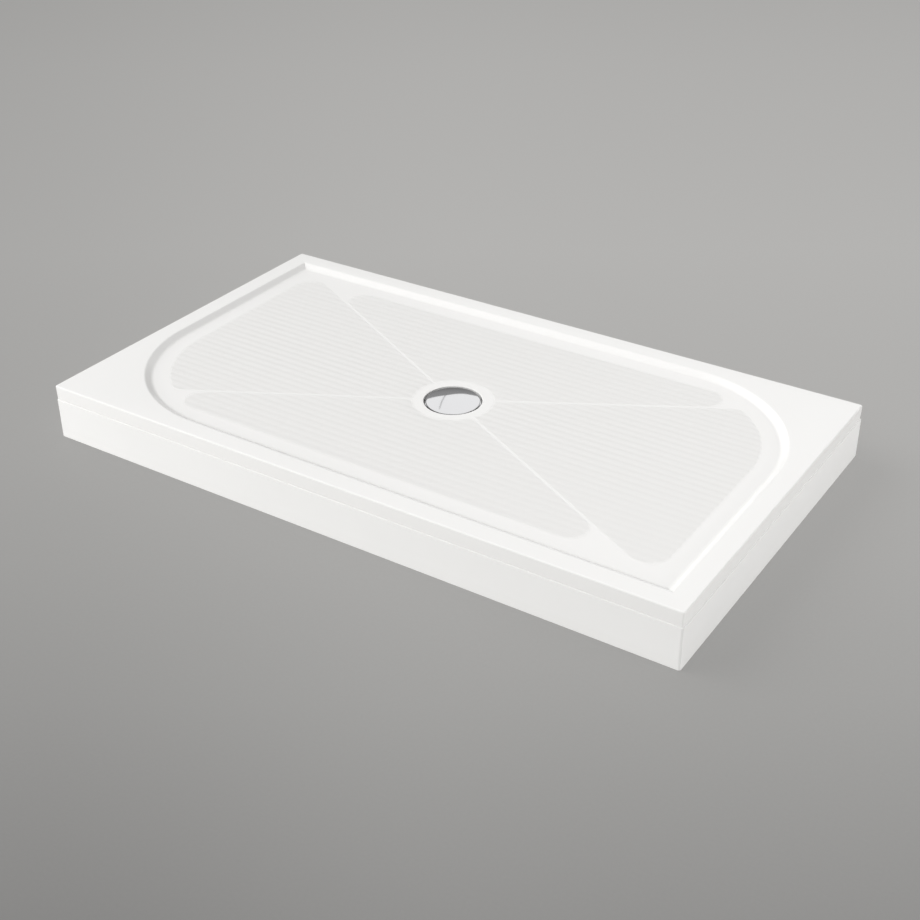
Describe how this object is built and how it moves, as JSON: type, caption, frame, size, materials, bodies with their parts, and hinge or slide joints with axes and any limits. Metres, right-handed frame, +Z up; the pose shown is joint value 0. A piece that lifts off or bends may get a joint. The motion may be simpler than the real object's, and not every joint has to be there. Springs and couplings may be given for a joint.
{
  "type": "shower tray",
  "caption": "Rectangular shower tray with a shallow ribbed basin, two round basin corners, a domed waste, levelling legs and a clip-on plinth.",
  "frame": {"origin": "on the floor, at the centre of the footprint", "axes": "+X along the long side, +Y towards the wall, away from the long plinth panel, +Z up"},
  "size_m": [1.4012, 0.8006, 0.118],
  "materials": {
    "cap_white": "glossy white acrylic with ribbed anti-slip zones",
    "stone_resin": "cast resin and stone, matt",
    "panel_white": "satin white extrusion",
    "clip_plastic": "moulded, matt",
    "leg_plastic": "moulded black plastic",
    "zinc_steel": "zinc plated",
    "chrome_cover": "polished",
    "waste_plastic": "moulded white plastic",
    "strainer_plastic": "moulded grey plastic",
    "seal_rubber": "soft black rubber"
  },
  "bodies": {
    "tray": {"tray_shell": "cap_white", "stone_core": "stone_resin", "leg_sockets": "leg_plastic", "socket_screws": "zinc_steel", "lock_nuts": "zinc_steel", "waste_flange": "chrome_cover", "upper_seal": "seal_rubber", "lower_seal": "seal_rubber", "trap_body": "waste_plastic", "outlet_nut": "waste_plastic", "cone_seal": "seal_rubber", "thrust_washer": "waste_plastic"},
    "front_plinth": {"front_panel": "panel_white", "front_clips": "clip_plastic", "corner_connector_left": "clip_plastic", "corner_connector_right": "clip_plastic"},
    "left_plinth": {"left_end_panel": "panel_white", "left_clips": "clip_plastic"},
    "right_plinth": {"right_end_panel": "panel_white", "right_clips": "clip_plastic"},
    "strainer": {"strainer": "strainer_plastic", "strainer_seal": "seal_rubber"},
    "cover": {"waste_cover": "chrome_cover"},
    "foot_1": {"foot_pad_1": "leg_plastic"},
    "rod_1": {"leg_rod_1": "zinc_steel"},
    "foot_2": {"foot_pad_2": "leg_plastic"},
    "rod_2": {"leg_rod_2": "zinc_steel"},
    "foot_3": {"foot_pad_3": "leg_plastic"},
    "rod_3": {"leg_rod_3": "zinc_steel"},
    "foot_4": {"foot_pad_4": "leg_plastic"},
    "rod_4": {"leg_rod_4": "zinc_steel"},
    "foot_5": {"foot_pad_5": "leg_plastic"},
    "rod_5": {"leg_rod_5": "zinc_steel"},
    "foot_6": {"foot_pad_6": "leg_plastic"},
    "rod_6": {"leg_rod_6": "zinc_steel"},
    "foot_7": {"foot_pad_7": "leg_plastic"},
    "rod_7": {"leg_rod_7": "zinc_steel"},
    "foot_8": {"foot_pad_8": "leg_plastic"},
    "rod_8": {"leg_rod_8": "zinc_steel"}
  },
  "joints": [
    {"name": "front_panel_pull", "type": "slide", "parent": "tray", "child": "front_plinth", "axis": [0, -1, 0], "range_m": [0, 0.1]},
    {"name": "left_panel_pull", "type": "slide", "parent": "tray", "child": "left_plinth", "axis": [-1, 0, 0], "range_m": [0, 0.1]},
    {"name": "right_panel_pull", "type": "slide", "parent": "tray", "child": "right_plinth", "axis": [1, 0, 0], "range_m": [0, 0.1]},
    {"name": "strainer_lift", "type": "slide", "parent": "tray", "child": "strainer", "axis": [0, 0, 1], "range_m": [0, 0.15]},
    {"name": "cover_lift", "type": "slide", "parent": "strainer", "child": "cover", "axis": [0, 0, 1], "range_m": [0, 0.1]},
    {"name": "foot_1_height", "type": "slide", "parent": "tray", "child": "foot_1", "axis": [0, 0, -1], "range_m": [-0.01, 0.015]},
    {"name": "rod_1_turn", "type": "hinge", "parent": "foot_1", "child": "rod_1", "pos_m": [-0.645, -0.3447, 0.04], "axis": [0, 0, -1], "range_deg": [-2059, 3088]},
    {"name": "foot_2_height", "type": "slide", "parent": "tray", "child": "foot_2", "axis": [0, 0, -1], "range_m": [-0.01, 0.015]},
    {"name": "rod_2_turn", "type": "hinge", "parent": "foot_2", "child": "rod_2", "pos_m": [-0.215, -0.3447, 0.04], "axis": [0, 0, -1], "range_deg": [-2059, 3088]},
    {"name": "foot_3_height", "type": "slide", "parent": "tray", "child": "foot_3", "axis": [0, 0, -1], "range_m": [-0.01, 0.015]},
    {"name": "rod_3_turn", "type": "hinge", "parent": "foot_3", "child": "rod_3", "pos_m": [0.215, -0.3447, 0.04], "axis": [0, 0, -1], "range_deg": [-2059, 3088]},
    {"name": "foot_4_height", "type": "slide", "parent": "tray", "child": "foot_4", "axis": [0, 0, -1], "range_m": [-0.01, 0.015]},
    {"name": "rod_4_turn", "type": "hinge", "parent": "foot_4", "child": "rod_4", "pos_m": [0.645, -0.3447, 0.04], "axis": [0, 0, -1], "range_deg": [-2059, 3088]},
    {"name": "foot_5_height", "type": "slide", "parent": "tray", "child": "foot_5", "axis": [0, 0, -1], "range_m": [-0.01, 0.015]},
    {"name": "rod_5_turn", "type": "hinge", "parent": "foot_5", "child": "rod_5", "pos_m": [-0.645, 0.3453, 0.04], "axis": [0, 0, -1], "range_deg": [-2059, 3088]},
    {"name": "foot_6_height", "type": "slide", "parent": "tray", "child": "foot_6", "axis": [0, 0, -1], "range_m": [-0.01, 0.015]},
    {"name": "rod_6_turn", "type": "hinge", "parent": "foot_6", "child": "rod_6", "pos_m": [-0.215, 0.3453, 0.04], "axis": [0, 0, -1], "range_deg": [-2059, 3088]},
    {"name": "foot_7_height", "type": "slide", "parent": "tray", "child": "foot_7", "axis": [0, 0, -1], "range_m": [-0.01, 0.015]},
    {"name": "rod_7_turn", "type": "hinge", "parent": "foot_7", "child": "rod_7", "pos_m": [0.215, 0.3453, 0.04], "axis": [0, 0, -1], "range_deg": [-2059, 3088]},
    {"name": "foot_8_height", "type": "slide", "parent": "tray", "child": "foot_8", "axis": [0, 0, -1], "range_m": [-0.01, 0.015]},
    {"name": "rod_8_turn", "type": "hinge", "parent": "foot_8", "child": "rod_8", "pos_m": [0.645, 0.3453, 0.04], "axis": [0, 0, -1], "range_deg": [-2059, 3088]}
  ],
  "couplings": [
    {"joint": "rod_1_turn", "follows": "foot_1_height", "rad_per_m": 3590.4},
    {"joint": "rod_2_turn", "follows": "foot_2_height", "rad_per_m": 3590.4},
    {"joint": "rod_3_turn", "follows": "foot_3_height", "rad_per_m": 3590.4},
    {"joint": "rod_4_turn", "follows": "foot_4_height", "rad_per_m": 3590.4},
    {"joint": "rod_5_turn", "follows": "foot_5_height", "rad_per_m": 3590.4},
    {"joint": "rod_6_turn", "follows": "foot_6_height", "rad_per_m": 3590.4},
    {"joint": "rod_7_turn", "follows": "foot_7_height", "rad_per_m": 3590.4},
    {"joint": "rod_8_turn", "follows": "foot_8_height", "rad_per_m": 3590.4}
  ]
}
